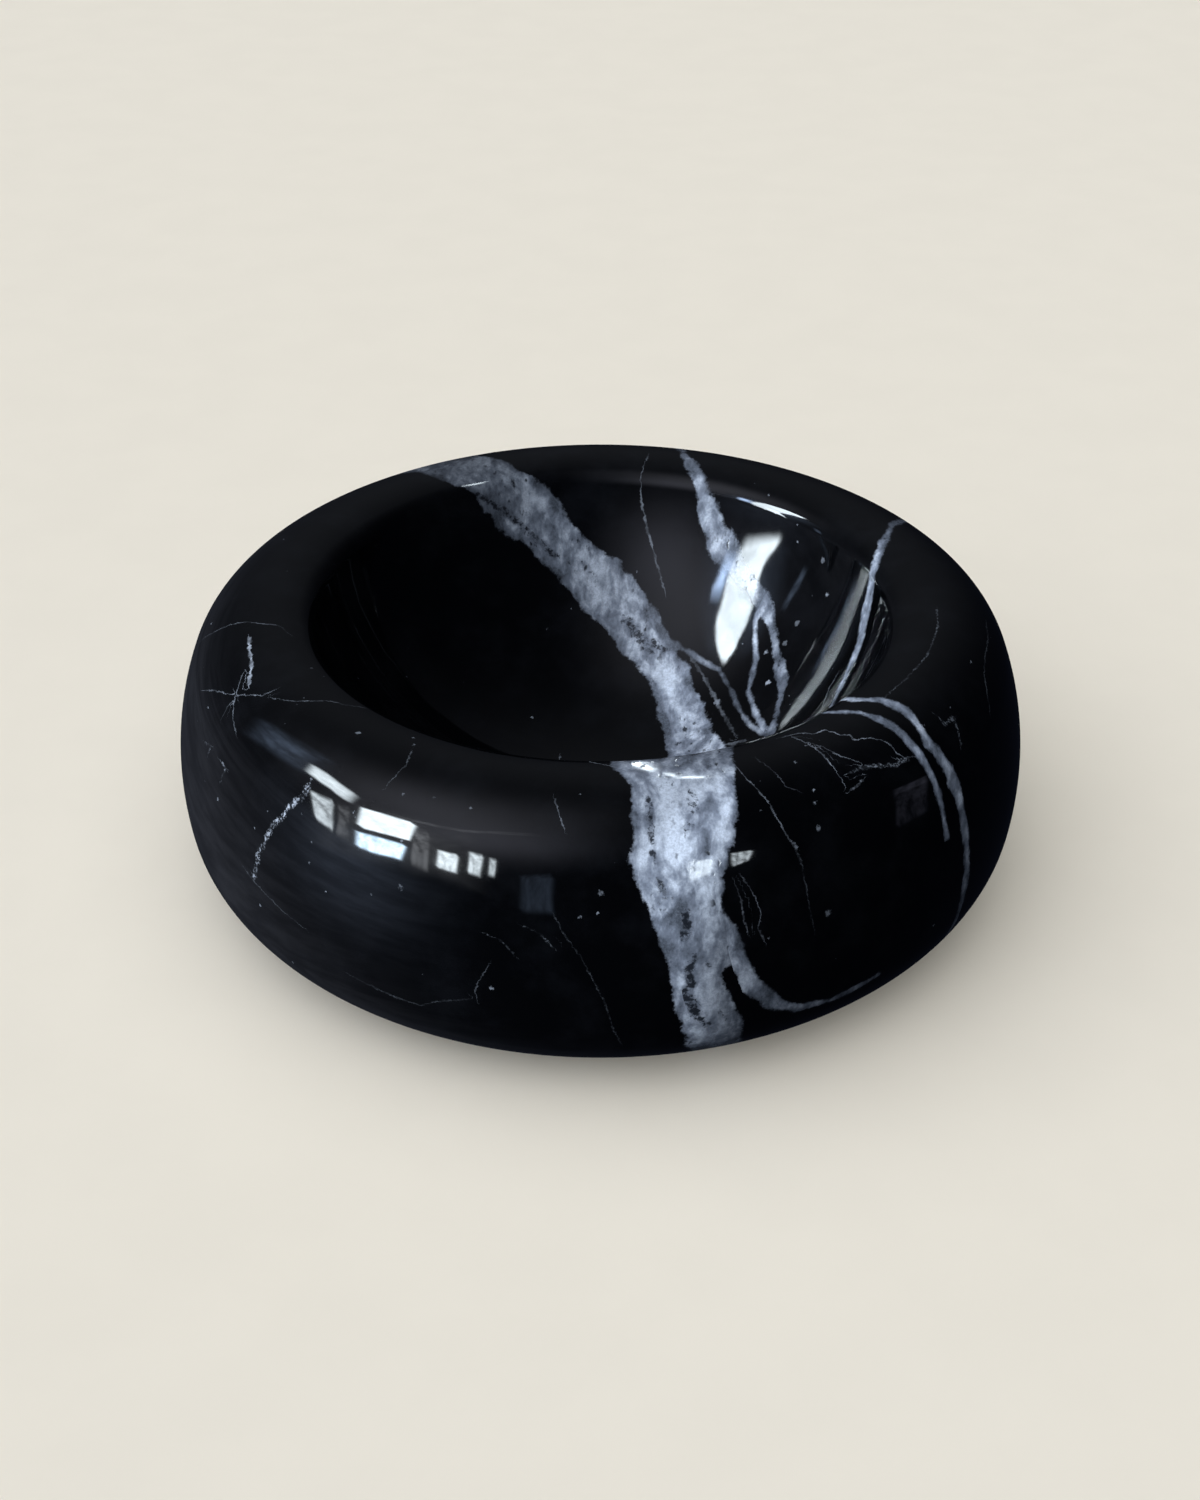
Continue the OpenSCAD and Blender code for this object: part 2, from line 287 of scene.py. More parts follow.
# Small pale spots in the photograph: place in its pixels, diameter in millimetres, how white
SPOTS = [
    ((358, 733), 1.4, 0.3), ((413, 738), 0.9, 0.5), ((414, 745), 0.9, 0.35), ((297, 704), 0.8, 0.5),
    ((302, 815), 0.8, 0.3), ((309, 863), 0.9, 0.35), ((401, 887), 1.4, 0.25), ((601, 893), 1.6, 0.25),
    ((580, 917), 0.9, 0.3), ((491, 988), 1.2, 0.35), ((681, 1028), 1.0, 0.8), ((669, 958), 0.8, 0.6),
    ((795, 762), 0.9, 0.5), ((813, 790), 0.9, 0.5), ((815, 803), 1.0, 0.4), ((819, 828), 1.6, 0.25),
    ((828, 913), 1.8, 0.2), ((971, 662), 1.0, 0.45), ((766, 652), 1.5, 0.5), ((768, 683), 1.9, 0.7),
    ((717, 702), 2.2, 0.35), ((827, 595), 1.5, 0.45), ((823, 560), 1.8, 0.22), ((797, 623), 2.0, 0.22),
    ((785, 643), 1.8, 0.2), ((769, 938), 0.8, 0.4), ((403, 794), 0.7, 0.3), ((471, 808), 0.8, 0.25),
]

# Tones inside the main vein: how much whiter (or darker, below 0), half width in millimetres, and a
# line in the photograph's pixels
TONES = [
    (-1.25, 0.8, [(650, 800), (651, 812), (652, 840)]),
    (-1.1, 0.7, [(653, 852), (657, 862)]),
    (-1.25, 0.9, [(659, 880), (666, 892), (672, 897)]),
    (-0.5, 2.0, [(656, 902), (664, 910), (670, 920)]),
    (-1.3, 1.1, [(681, 905), (687, 917), (687, 937)]),
    (-1.1, 0.9, [(695, 956), (691, 966)]),
    (-1.2, 0.9, [(688, 970), (693, 985)]),
    (-1.25, 1.1, [(686, 992), (694, 1008)]),
    (-1.2, 1.0, [(695, 1013), (706, 1024)]),
    (-0.9, 0.6, [(719, 1011), (727, 1019)]),
    (-0.8, 0.7, [(691, 793), (696, 810)]),
    (-0.9, 0.7, [(681, 831), (690, 826)]),
    (-0.9, 0.5, [(706, 848), (708, 854)]),
    (-0.6, 0.6, [(707, 962), (711, 968)]),
    (-0.4, 1.6, [(686, 785), (690, 800), (688, 815)]),
    (-0.35, 1.5, [(700, 870), (696, 890), (694, 905)]),
    (-0.4, 1.2, [(716, 925), (714, 950)]),
    (-0.4, 1.4, [(616, 860), (622, 885), (634, 900)]),
    (1.6, 1.7, [(669, 786), (668, 820), (672, 852)]),
    (1.1, 2.0, [(671, 855), (674, 880), (682, 900)]),
    (0.8, 1.6, [(719, 775), (723, 800), (722, 832)]),
    (0.9, 2.0, [(703, 888), (708, 920), (705, 945)]),
    (0.4, 2.0, [(708, 985), (722, 1000), (735, 1012)]),
    (-1.0, 0.9, [(478, 494), (505, 512), (530, 532), (556, 556)]),
    (-0.6, 0.8, [(583, 562), (602, 588), (625, 618), (642, 640)]),
    (-1.1, 0.8, [(655, 642), (664, 650)]),
    (-0.5, 0.9, [(668, 680), (690, 706)]),
    (0.9, 1.3, [(500, 478), (536, 500), (566, 530), (590, 560)]),
    (0.9, 1.3, [(600, 590), (618, 612)]),
    (-0.6, 1.8, [(626, 622), (640, 640), (650, 652)]),
    (1.2, 1.4, [(664, 668), (674, 696), (684, 722)]),
]

# Hairlines on the sides that the photograph doesn't show
UNSEEN_HAIRLINES = 26
UNSEEN_STEPS = 14
UNSEEN_STEP_LENGTH = 3.2 * MM
HIDDEN_BY = 3 * MM
FADE_STEPS = 1.5
POINTS_AT_ONCE = 4000
TONE_SPREAD = 1.25
RANDOM_SEED = 11


def photo_hairlines():
    lines = []
    for _, width, white, grain, pixels in HAIRLINES:
        seen = [seen_at(x, y) for x, y in pixels]
        lines.append((width, white, grain, [s[0] for s in seen if s]))
    return lines


def hidden(point):
    """Whether the bowl hides a point of its surface from the camera."""
    sight = point - camera_place
    reach = whole_tree.ray_cast(camera_place, sight.normalized())[3] or CAMERA_DISTANCE
    return reach < sight.length - HIDDEN_BY


def unseen_hairlines():
    """Lines that wander over the far side, the near side of the hollow and the underside."""
    draw = random.Random(RANDOM_SEED)
    lines = []
    while len(lines) < UNSEEN_HAIRLINES:
        turn = draw.uniform(-math.pi, math.pi)
        centre, radius, first, last, _ = ARCS[draw.choice([0, 1, 1, 2, 4])]
        start = turned(centre, draw.uniform(first, last), radius)
        place = Vector((start[0] * math.sin(turn), start[0] * math.cos(turn), start[1]))
        heading = draw.uniform(0, 2 * math.pi)
        bend = draw.uniform(-0.12, 0.12)
        points = []
        for _ in range(draw.randrange(5, UNSEEN_STEPS)):
            spot, normal, _ = on_skin([place])
            place = Vector(spot[0])
            normal = Vector(normal[0])
            points.append(place)
            level = normal.orthogonal().normalized()
            across = normal.cross(level)
            heading += bend + draw.uniform(-0.25, 0.25)
            place = place + UNSEEN_STEP_LENGTH * (math.cos(heading) * level + math.sin(heading) * across)
        if all(hidden(point) for point in points):
            lines.append((draw.uniform(0.4, 0.9), draw.uniform(0.2, 0.6), draw.uniform(0, 0.8), points))
    return lines


def hairline_segments(lines):
    """Every piece of every line as rows of start, end, width, whiteness, graininess."""
    rows = []
    for width, white, grain, points in lines:
        count = len(points) - 1
        for i in range(count):
            fade_in = min(1, (i + 1) / FADE_STEPS) if count > 3 else 1
            fade_out = min(1, (count - i) / FADE_STEPS) if count > 3 else 1
            rows.append([*points[i], *points[i + 1], width, white * fade_in * fade_out, grain])
    return np.array(rows)


SEGMENTS = hairline_segments(photo_hairlines() + unseen_hairlines())
spot_hits = [(seen_at(*px), size, white) for px, size, white in SPOTS]
SPOT_ROWS = np.array([[*s[0], size, white] for s, size, white in spot_hits if s])


def hairline_values(points, normals):
    """For each point: signed offset to the nearest hairline and its distance (mm), and its look."""
    values = np.zeros((len(points), 5))
    starts = SEGMENTS[:, 0:3]
    runs = SEGMENTS[:, 3:6] - starts
    lengths = np.maximum((runs ** 2).sum(1), 1e-18)
    for first in range(0, len(points), POINTS_AT_ONCE):
        here = slice(first, first + POINTS_AT_ONCE)
        p = points[here]
        gap = p[:, None, :] - starts[None]
        share = np.clip((gap * runs[None]).sum(-1) / lengths, 0, 1)
        away = gap - share[..., None] * runs[None]
        off = np.sqrt((away ** 2).sum(-1))
        nearest = off.argmin(1)
        rows = np.arange(len(p))
        aside = np.cross(normals[here], runs[nearest])
        side = np.sign((away[rows, nearest] * aside).sum(-1))
        values[here, 0] = side * off[rows, nearest] / MM
        values[here, 1] = off[rows, nearest] / MM
        values[here, 2:] = SEGMENTS[nearest, 6:9]
    return values


def spot_values(points):
    """How far each point lies inside the nearest pale spot (mm, below 0 outside), and its whiteness."""
    off = np.sqrt(((points[:, None, :] - SPOT_ROWS[None, :, 0:3]) ** 2).sum(-1)) / MM
    inside = SPOT_ROWS[None, :, 3] / 2 - off
    nearest = inside.argmax(1)
    return inside[np.arange(len(points)), nearest], SPOT_ROWS[nearest, 4]


def tone_values(points):
    """How much whiter or darker the main vein is at each point."""
    total = np.zeros(len(points))
    for amount, width, pixels in TONES:
        line = np.array([seen_at(x, y)[0] for x, y in pixels])
        nearest = np.full(len(points), np.inf)
        for start, end in zip(line[:-1], line[1:]):
            run = end - start
            share = np.clip(((points - start) @ run) / (run @ run), 0, 1)
            nearest = np.minimum(nearest, np.linalg.norm(points - start - share[:, None] * run, axis=1))
        total += amount * np.exp(-(nearest / (TONE_SPREAD * width * MM)) ** 2)
    return total


# Fine skins

INNER = 0
SKIN = 1
FOOT = 2
ON_SURFACE = 0.02 * MM
FOOT_FLAT = 0.001 * MM
FACING = 0.9
CELL = 1 * MM
DETAIL_REACH = 2
FAR_FROM_VEIN = 12 * MM
REFINE_PASSES = 9
MOST_BEND = 0.15
GRID_MARGIN = 3
MARKS_PER_SEGMENT = 9


def node_triangles(name):
    """Corners and triangles of a node, with the corners that lie on each other made one."""
    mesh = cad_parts[name].data
    mesh.calc_loop_triangles()
    corners = np.zeros(len(mesh.vertices) * 3, np.float32)
    mesh.vertices.foreach_get("co", corners)
    triangles = np.zeros(len(mesh.loop_triangles) * 3, np.int32)
    mesh.loop_triangles.foreach_get("vertices", triangles)
    corners, same = np.unique(corners.reshape(-1, 3), axis=0, return_inverse=True)
    triangles = same.reshape(-1)[triangles].reshape(-1, 3)
    a, b, c = triangles.T
    whole = (a != b) & (b != c) & (c != a)
    return corners.astype(float), triangles[whole]


def face_normals(corners, triangles):
    a, b, c = (corners[triangles[:, i]] for i in range(3))
    normal = np.cross(b - a, c - a)
    return normal / np.maximum(np.linalg.norm(normal, axis=1), 1e-20)[:, None]


def triangle_kinds(corners, triangles):
    """Says of each triangle whether it is turned skin, the flat foot or an inner wall."""
    off = on_skin(corners)[2][triangles].max(1)
    skin_normals = on_skin(corners[triangles].mean(1))[1]
    facing = (skin_normals * face_normals(corners, triangles)).sum(1) > FACING
    kinds = np.where((off < ON_SURFACE) & facing, SKIN, INNER)
    kinds[(np.abs(corners[triangles, 2]) < FOOT_FLAT).all(1)] = FOOT
    return kinds


def edges_of(triangles, count):
    """The edges of the triangles, each once, and for each triangle the places of its three."""
    pairs = np.sort(triangles[:, [[0, 1], [1, 2], [2, 0]]], axis=2).reshape(-1, 2)
    keys, place = np.unique(pairs[:, 0].astype(np.int64) * count + pairs[:, 1], return_inverse=True)
    return np.stack([keys // count, keys % count], 1), place.reshape(-1, 3)


def mark_detail(points, grid):
    """Marks the cells of the grid around some points."""
    cell = np.floor((points - GRID_LOW) / CELL).astype(int)
    span = range(-DETAIL_REACH, DETAIL_REACH + 1)
    for i in span:
        for j in span:
            for k in span:
                near = np.clip(cell + (i, j, k), 0, np.array(grid.shape) - 1)
                grid[near[:, 0], near[:, 1], near[:, 2]] = True


def in_detail(points, grid):
    cell = np.clip(np.floor((points - GRID_LOW) / CELL).astype(int), 0, np.array(grid.shape) - 1)
    return grid[cell[:, 0], cell[:, 1], cell[:, 2]]


def refine(corners, triangles, kinds, grid, fine_step):
    """Splits the triangles of skin and foot until all edges are short, rounding the skin on the way."""
    for _ in range(REFINE_PASSES):
        count = len(corners)
        edges, of_triangle = edges_of(triangles, count)
        outer = np.zeros(len(edges), bool)
        outer[of_triangle[kinds != INNER]] = True
        turned_edge = np.zeros(len(edges), bool)
        turned_edge[of_triangle[kinds == SKIN]] = True
        ends = corners[edges]
        middles = ends.mean(1)
        step = np.where(in_detail(middles, grid), fine_step, PLAIN_STEP)
        step = np.minimum(step, np.where(middles[:, 2] > LIP_FROM, LIP_STEP, PLAIN_STEP))
        length = np.linalg.norm(ends[:, 0] - ends[:, 1], axis=1)
        split = outer & (length > step)
        if not split.any():
            break
        place, _, off = on_skin(middles)
        bent = split & turned_edge & (off < MOST_BEND * length)
        middles[bent] = place[bent]
        new_at = np.full(len(edges), -1)
        new_at[split] = count + np.arange(split.sum())
        corners = np.concatenate([corners, middles[split]])
        triangles, kinds = cut_triangles(corners, triangles, kinds, new_at[of_triangle])
    return corners, triangles, kinds


def cut_triangles(corners, triangles, kinds, new):
    """Cuts each triangle at the new points on its edges (-1 for none)."""
    cuts = (new >= 0).sum(1)
    done = [triangles[cuts == 0]]
    done_kinds = [kinds[cuts == 0]]

    def add(which, *parts):
        for part in parts:
            done.append(np.stack(part, 1))
            done_kinds.append(kinds[which])

    for turn in range(3):
        a, b, c = (triangles[:, (turn + i) % 3] for i in range(3))
        ab, bc, ca = (new[:, (turn + i) % 3] for i in range(3))
        one = (cuts == 1) & (ab >= 0)
        add(one, (a[one], ab[one], c[one]), (ab[one], b[one], c[one]))
        two = (cuts == 2) & (ca < 0)
        add(two, (ab[two], b[two], bc[two]))
        span_a = np.linalg.norm(corners[a] - corners[bc], axis=1)
        span_c = np.linalg.norm(corners[c] - corners[ab], axis=1)
        from_a = two & (span_a < span_c)
        from_c = two & (span_a >= span_c)
        add(from_a, (a[from_a], ab[from_a], bc[from_a]), (a[from_a], bc[from_a], c[from_a]))
        add(from_c, (a[from_c], ab[from_c], c[from_c]), (ab[from_c], bc[from_c], c[from_c]))
    three = cuts == 3
    a, b, c = triangles[three].T
    ab, bc, ca = new[three].T
    add(three, (a, ab, ca), (ab, b, bc), (ca, bc, c), (ab, bc, ca))
    return np.concatenate(done), np.concatenate(done_kinds)


# Every node's triangles, sorted into skin, foot and inner walls, and the cells where detail is wanted
GRID_LOW = np.array([-OUTER_R, -OUTER_R, 0]) - GRID_MARGIN * CELL
cells_across = int(2 * OUTER_R / CELL) + 2 * GRID_MARGIN + 1
cells_up = int(HEIGHT / CELL) + 2 * GRID_MARGIN + 1
detail_grid = np.zeros((cells_across, cells_across, cells_up), bool)
node_parts = {}
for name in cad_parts:
    node_corners, node_faces = node_triangles(name)
    node_parts[name] = (node_corners, node_faces, triangle_kinds(node_corners, node_faces))


def wall_tree(names):
    """A search tree over the inner walls of some nodes, with the name of each triangle's node."""
    corners = []
    faces = []
    owners = []
    start = 0
    for name in names:
        some_corners, some_faces, kinds = node_parts[name]
        walls = some_faces[kinds == INNER]
        corners.append(some_corners)
        faces.append(walls + start)
        owners += [name] * len(walls)
        start += len(some_corners)
    return BVHTree.FromPolygons(np.concatenate(corners).tolist(), np.concatenate(faces).tolist()), owners


black_walls, black_owners = wall_tree(BLACK_NODES)
vein_walls, vein_owners = wall_tree(VEINS)

for start_share in np.linspace(0, 1, MARKS_PER_SEGMENT):
    mark_detail(SEGMENTS[:, 0:3] * (1 - start_share) + SEGMENTS[:, 3:6] * start_share, detail_grid)
mark_detail(SPOT_ROWS[:, 0:3], detail_grid)
for name in VEINS:
    node_corners, node_faces, node_kinds = node_parts[name]
    on_outside = np.unique(node_faces[node_kinds != INNER])
    mark_detail(node_corners[on_outside], detail_grid)
for _, _, pixels in TONES:
    mark_detail(np.array([seen_at(x, y)[0] for x, y in pixels]), detail_grid)


def edge_moved(place, black_node):
    """How far the calcite reaches beyond the frame's edge of the main vein, toward a black block."""
    x, y, z = (axis / MM for axis in place)
    if y > 0:
        return 0
    left = black_node == "black_stone_left"
    if not left:
        return -np.interp(z, *RIGHT_SHIFT)
    return np.interp(z, *LEFT_SHIFT) + (np.interp(y, *LIP_FLARE) if z > LIP_FROM / MM else 0)


def vein_values(points, node):
    """For each point: distance to the calcite's edge (mm, above 0 outside it), whiteness (with painted
    shade on the main vein), wander.
    """
    own = VEINS.get(node)
    side = -1 if own else 1
    # Whiteness of the main vein along it, partly painted shade low on the front wall and in the hollow
    main_white_and_shade = np.interp((points[:, 1] - points[:, 0]) / MM, MAIN_VEIN_ALONG, MAIN_VEIN_WHITE_AND_SHADE)
    values = np.zeros((len(points), 3))
    for i, p in enumerate(points.tolist()):
        _, _, wall, gap = black_walls.find_nearest(p, FAR_FROM_VEIN)
        if wall is None:
            values[i] = (side * FAR_FROM_VEIN / MM, main_white_and_shade[i] if node == "main_vein" else 1, 1)
            continue
        vein = node if own else vein_owners[vein_walls.find_nearest(p)[2]]
        white, wander, drawn_in = VEINS[vein]
        values[i] = (side * gap / MM + drawn_in, white, wander)
        if vein == "main_vein":
            values[i, 0] -= edge_moved(p, black_owners[wall] if own else node)
            values[i, 1] = main_white_and_shade[i]
    return values


def set_attribute(mesh, name, kind, values):
    attribute = mesh.attributes.new(name, kind, "POINT")
    key = "value" if kind == "FLOAT" else "vector"
    attribute.data.foreach_set(key, np.asarray(values, np.float32).ravel())


def dress(node, material):
    """Makes the fine skin that stands for one node of the frame."""
    fine_step = VEIN_STEP if node == "main_vein" else FINE_STEP
    points, faces, kinds = refine(*node_parts[node], detail_grid, fine_step)
    on_turned = np.unique(faces[kinds == SKIN])
    points[on_turned] = on_skin(points[on_turned])[0]
    normals = on_skin(points)[1]
    flat = np.abs(points[:, 2]) < FOOT_FLAT
    line_normals = np.where(flat[:, None], np.array([[0, 0, -1.0]]), normals)

    mesh = bpy.data.meshes.new("polished_" + node)
    mesh.from_pydata(points.tolist(), [], faces.tolist())
    mesh.polygons.foreach_set("use_smooth", np.ones(len(faces), bool))
    flat_normals = np.repeat(face_normals(points, faces), 3, axis=0)
    smooth = np.repeat(kinds == SKIN, 3)
    mesh.normals_split_custom_set(np.where(smooth[:, None], normals[faces.ravel()], flat_normals).tolist())

    set_attribute(mesh, "vein", "FLOAT_VECTOR", vein_values(points, node))
    hair_and_highlight = hairline_values(points, line_normals)
    set_attribute(mesh, "hair_offset", "FLOAT", hair_and_highlight[:, 0])
    set_attribute(mesh, "hair_gap", "FLOAT", hair_and_highlight[:, 1])
    set_attribute(mesh, "hair_look", "FLOAT_VECTOR", hair_and_highlight[:, 2:])
    if node == "main_vein":
        set_attribute(mesh, "tone", "FLOAT", tone_values(points))
    inside, white = spot_values(points)
    set_attribute(mesh, "spot", "FLOAT", inside)
    set_attribute(mesh, "spot_white", "FLOAT", white)

    piece = bpy.data.objects.new("polished_" + node, mesh)
    bpy.context.scene.collection.objects.link(piece)
    piece.data.materials.append(material)
    piece.visible_glossy = node in BLACK_NODES
    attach(piece, "root")
    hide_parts(node)
    return piece


# Materials

class Nodes:
    """Builds the node tree of a material or world in few words."""

    def __init__(self, owner):
        self.owner = owner
        owner.use_nodes = True
        self.tree = owner.node_tree
        self.tree.nodes.clear()

    def make(self, kind, inputs=(), **settings):
        node = self.tree.nodes.new(kind)
        for key, value in settings.items():
            setattr(node, key, value)
        for key, value in dict(inputs).items():
            if isinstance(value, bpy.types.NodeSocket):
                self.tree.links.new(value, node.inputs[key])
            else:
                node.inputs[key].default_value = value
        return node

    def math(self, operation, a, b=0.0, c=0.0, clamp=False):
        node = self.make("ShaderNodeMath", {0: a, 1: b, 2: c}, operation=operation, use_clamp=clamp)
        return node.outputs[0]

    def step(self, value, low, high, to_low=0.0, to_high=1.0):
        """A smooth change from to_low to to_high as the value goes from low to high."""
        inputs = {"Value": value, "From Min": low, "From Max": high, "To Min": to_low, "To Max": to_high}
        return self.make("ShaderNodeMapRange", inputs, interpolation_type="SMOOTHSTEP").outputs[0]

    def scaled(self, vector, scale):
        node = self.make("ShaderNodeVectorMath", {0: vector, 1: scale}, operation="MULTIPLY")
        return node.outputs[0]

    def noise(self, vector, scale, detail=2.0, roughness=0.5, distortion=0.0):
        inputs = {"Vector": vector, "Scale": scale, "Detail": detail, "Roughness": roughness,
                  "Distortion": distortion}
        return self.make("ShaderNodeTexNoise", inputs).outputs["Fac"]

    def swing(self, reach, vector, scale, **look):
        """Noise about zero, which stays within half its reach to either side."""
        return self.math("MULTIPLY", self.math("SUBTRACT", self.noise(vector, scale, **look), 0.5), reach)

    def attribute(self, name):
        return self.make("ShaderNodeAttribute", attribute_name=name)

    def mix(self, share, a, b):
        node = self.make("ShaderNodeMix", {"Factor": share}, data_type="RGBA")
        for socket, value in ((node.inputs[6], a), (node.inputs[7], b)):
            if isinstance(value, bpy.types.NodeSocket):
                self.tree.links.new(value, socket)
            else:
                socket.default_value = (*value, 1)
        return node.outputs[2]


BLACK = (0.0010, 0.0011, 0.0014)
BLACK_CLOUD = (0.0032, 0.0034, 0.0042)
CALCITE_EDGE = (0.080, 0.090, 0.110)
CALCITE_DULL = (0.245, 0.270, 0.328)
CALCITE_WHITE = (0.780, 0.830, 0.930)
FLECK = (0.012, 0.014, 0.019)
HAIR_WHITE = (0.46, 0.49, 0.55)


def marble():
    """Black stone with ragged, flecked calcite veins, hairlines, crumbs and specks."""
    n = Nodes(bpy.data.materials.new("marble"))
    place = n.make("ShaderNodeTexCoord").outputs["Object"]
    mm = n.scaled(place, (1 / MM, 1 / MM, 1 / MM))
    vein = n.make("ShaderNodeSeparateXYZ", {0: n.attribute("vein").outputs["Vector"]})
    edge, vein_white_and_shade, wander = vein.outputs

    # Edge of the calcite, moved in and out by coarse, middling and fine noise
    coarse = n.swing(4.5, mm, 0.12, detail=2)
    middling = n.swing(2.0, mm, 0.42, detail=3)
    fine = n.swing(1.5, mm, 1.5, detail=3, roughness=0.6)
    shift = n.math("ADD", n.math("ADD", coarse, middling), fine)
    depth = n.math("SUBTRACT", n.math("MULTIPLY", shift, wander), edge)
    cover = n.step(depth, -0.45, 0.45)

    # Inside the calcite: a grey margin, white clouds, crystals, and dark flecks
    tone = n.attribute("tone").outputs["Fac"]
    stretched = n.scaled(mm, (1.0, 0.6, 0.55))
    cloud = n.swing(4.2, stretched, 0.13, detail=4, roughness=0.55, distortion=0.8)
    mottle = n.swing(2.6, stretched, 0.45, detail=3, roughness=0.55, distortion=0.3)
    crystal = n.noise(mm, 2.0, detail=3, roughness=0.7)
    toned = n.math("ADD", n.math("ADD", cloud, mottle), n.math("MULTIPLY", tone, 0.4))
    bright = n.math("ADD", toned, n.step(depth, 0.0, 3.0, 0.10, 0.62))
    calcite = n.mix(n.step(bright, -0.6, 0.5), CALCITE_EDGE, CALCITE_DULL)
    calcite = n.mix(n.step(bright, 0.15, 1.45), calcite, CALCITE_WHITE)
    calcite = n.mix(n.step(crystal, 0.36, 0.60, 0.30, 0.0), calcite, CALCITE_DULL)
    chain = n.step(n.noise(n.scaled(mm, (1.0, 0.35, 0.3)), 0.16, detail=2), 0.48, 0.62)
    dark = n.noise(stretched, 0.62, detail=3, roughness=0.55, distortion=0.1)
    scattered = n.math("MULTIPLY", n.step(dark, 0.57, 0.70), chain)
    torn = n.swing(5.0, mm, 0.85, detail=5, roughness=0.65, distortion=0.2)
    torn_tone = n.math("ADD", n.math("MULTIPLY", tone, -0.9), torn)
    placed = n.math("MULTIPLY", n.step(torn_tone, 0.38, 1.3), n.step(tone, -0.55, -0.2, 1.0, 0.0))
    fleck = n.math("MULTIPLY", n.math("MAXIMUM", scattered, placed), 0.92)
    grained = n.step(n.noise(mm, 1.1, detail=4, roughness=0.7), 0.32, 0.62, 0.84, 1.05)
    calcite = n.make("ShaderNodeVectorMath", {0: calcite, "Scale": grained}, operation="SCALE").outputs[0]
    calcite = n.mix(fleck, calcite, FLECK)

    # Black stone: faint clouds, and scattered pale specks
    haze = n.noise(mm, 0.07, detail=6, roughness=0.62)
    stone = n.mix(n.step(haze, 0.42, 0.75), BLACK, BLACK_CLOUD)
    ragged = n.make("ShaderNodeVectorMath", {
        0: mm, 1: n.make("ShaderNodeTexNoise", {"Vector": mm, "Scale": 1.6}).outputs["Color"],
    }, operation="ADD").outputs[0]
    cells = n.make("ShaderNodeTexVoronoi", {"Vector": ragged, "Scale": 0.30})
    rare = n.make("ShaderNodeSeparateColor", {0: cells.outputs["Color"]})
    speck_size = n.step(rare.outputs[0], 0.82, 1.0, 0.0, 0.10)
    speck = n.math("MULTIPLY", n.math("LESS_THAN", cells.outputs["Distance"], speck_size),
                   n.step(rare.outputs[1], 0.0, 1.0, 0.04, 0.35))
    stone = n.mix(speck, stone, HAIR_WHITE)

    # Hairlines, broken into grains where they are grainy; one of them is a painted highlight along the lip
    look = n.make("ShaderNodeSeparateXYZ", {0: n.attribute("hair_look").outputs["Vector"]})
    width, hair_white, grain = look.outputs
    offset = n.attribute("hair_offset").outputs["Fac"]
    wobble = n.swing(1.5, mm, 0.8, detail=4, roughness=0.7)
    off = n.math("ABSOLUTE", n.math("ADD", offset, wobble))
    half = n.math("MULTIPLY", width, n.step(n.noise(mm, 0.5, detail=2), 0.3, 0.7, 0.16, 0.46))
    line = n.step(n.math("DIVIDE", off, half), 0.3, 1.2, 1.0, 0.0)
    line = n.math("MULTIPLY", line, n.step(n.noise(mm, 0.33, detail=3), 0.36, 0.62, 0.25, 0.9))
    close = n.step(n.attribute("hair_gap").outputs["Fac"], 1.3, 1.9, 1.0, 0.0)
    grains = n.step(n.noise(mm, 1.7, detail=2), 0.47, 0.60)
    whole = n.math("SUBTRACT", 1.0, grain)
    broken = n.math("ADD", whole, n.math("MULTIPLY", grain, grains), clamp=True)
    hair_and_highlight = n.math("MULTIPLY", n.math("MULTIPLY", line, close), n.math("MULTIPLY", hair_white, broken))
    stone = n.mix(hair_and_highlight, stone, HAIR_WHITE)
    frayed = n.math("MULTIPLY", n.math("SUBTRACT", n.noise(mm, 1.5, detail=3), 0.62), 1.6)
    inside = n.math("ADD", n.attribute("spot").outputs["Fac"], frayed)
    spot = n.math("MULTIPLY", n.step(inside, -0.15, 0.3), n.attribute("spot_white").outputs["Fac"])
    stone = n.mix(spot, stone, HAIR_WHITE)

    # The share carries the main vein's painted shade along with the calcite's own whiteness
    share = n.math("MULTIPLY", cover, vein_white_and_shade)
    colour = n.mix(share, stone, calcite)

    # Polish: sharp on the black stone, softer on the calcite, only honed under the foot
    height = n.make("ShaderNodeSeparateXYZ", {0: mm}).outputs[2]
    honed = n.step(height, 0.0, 0.25, 0.30, 0.0)
    polish = n.math("ADD", n.math("MULTIPLY", share, 0.025), 0.045)
    roughness = n.math("ADD", polish, honed)
    ripple = n.noise(mm, 0.06, detail=2)
    pits = n.math("MULTIPLY", n.math("MULTIPLY", fleck, share), -0.03)
    relief = n.math("ADD", n.math("MULTIPLY", ripple, 0.10), pits)
    bump = n.make("ShaderNodeBump", {"Strength": 1.0, "Distance": MM, "Height": relief})

    shader = n.make("ShaderNodeBsdfPrincipled", {
        "Base Color": colour, "Roughness": roughness, "Normal": bump.outputs[0], "IOR": 1.5,
    })
    n.make("ShaderNodeOutputMaterial", {"Surface": shader.outputs[0]})
    return n.owner


marble_material = marble()
dressed = {name: dress(name, marble_material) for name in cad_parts}


# Floor, surroundings and lights

FLOOR_SIZE = 12
FLOOR_COLOUR = (0.84, 0.802, 0.700)


def add_stage(name, corners, faces, material):
    mesh = bpy.data.meshes.new(name)
    mesh.from_pydata([tuple(c) for c in corners], [], faces)
    piece = bpy.data.objects.new(name, mesh)
    bpy.context.scene.collection.objects.link(piece)
    mesh.materials.append(material)
    return piece


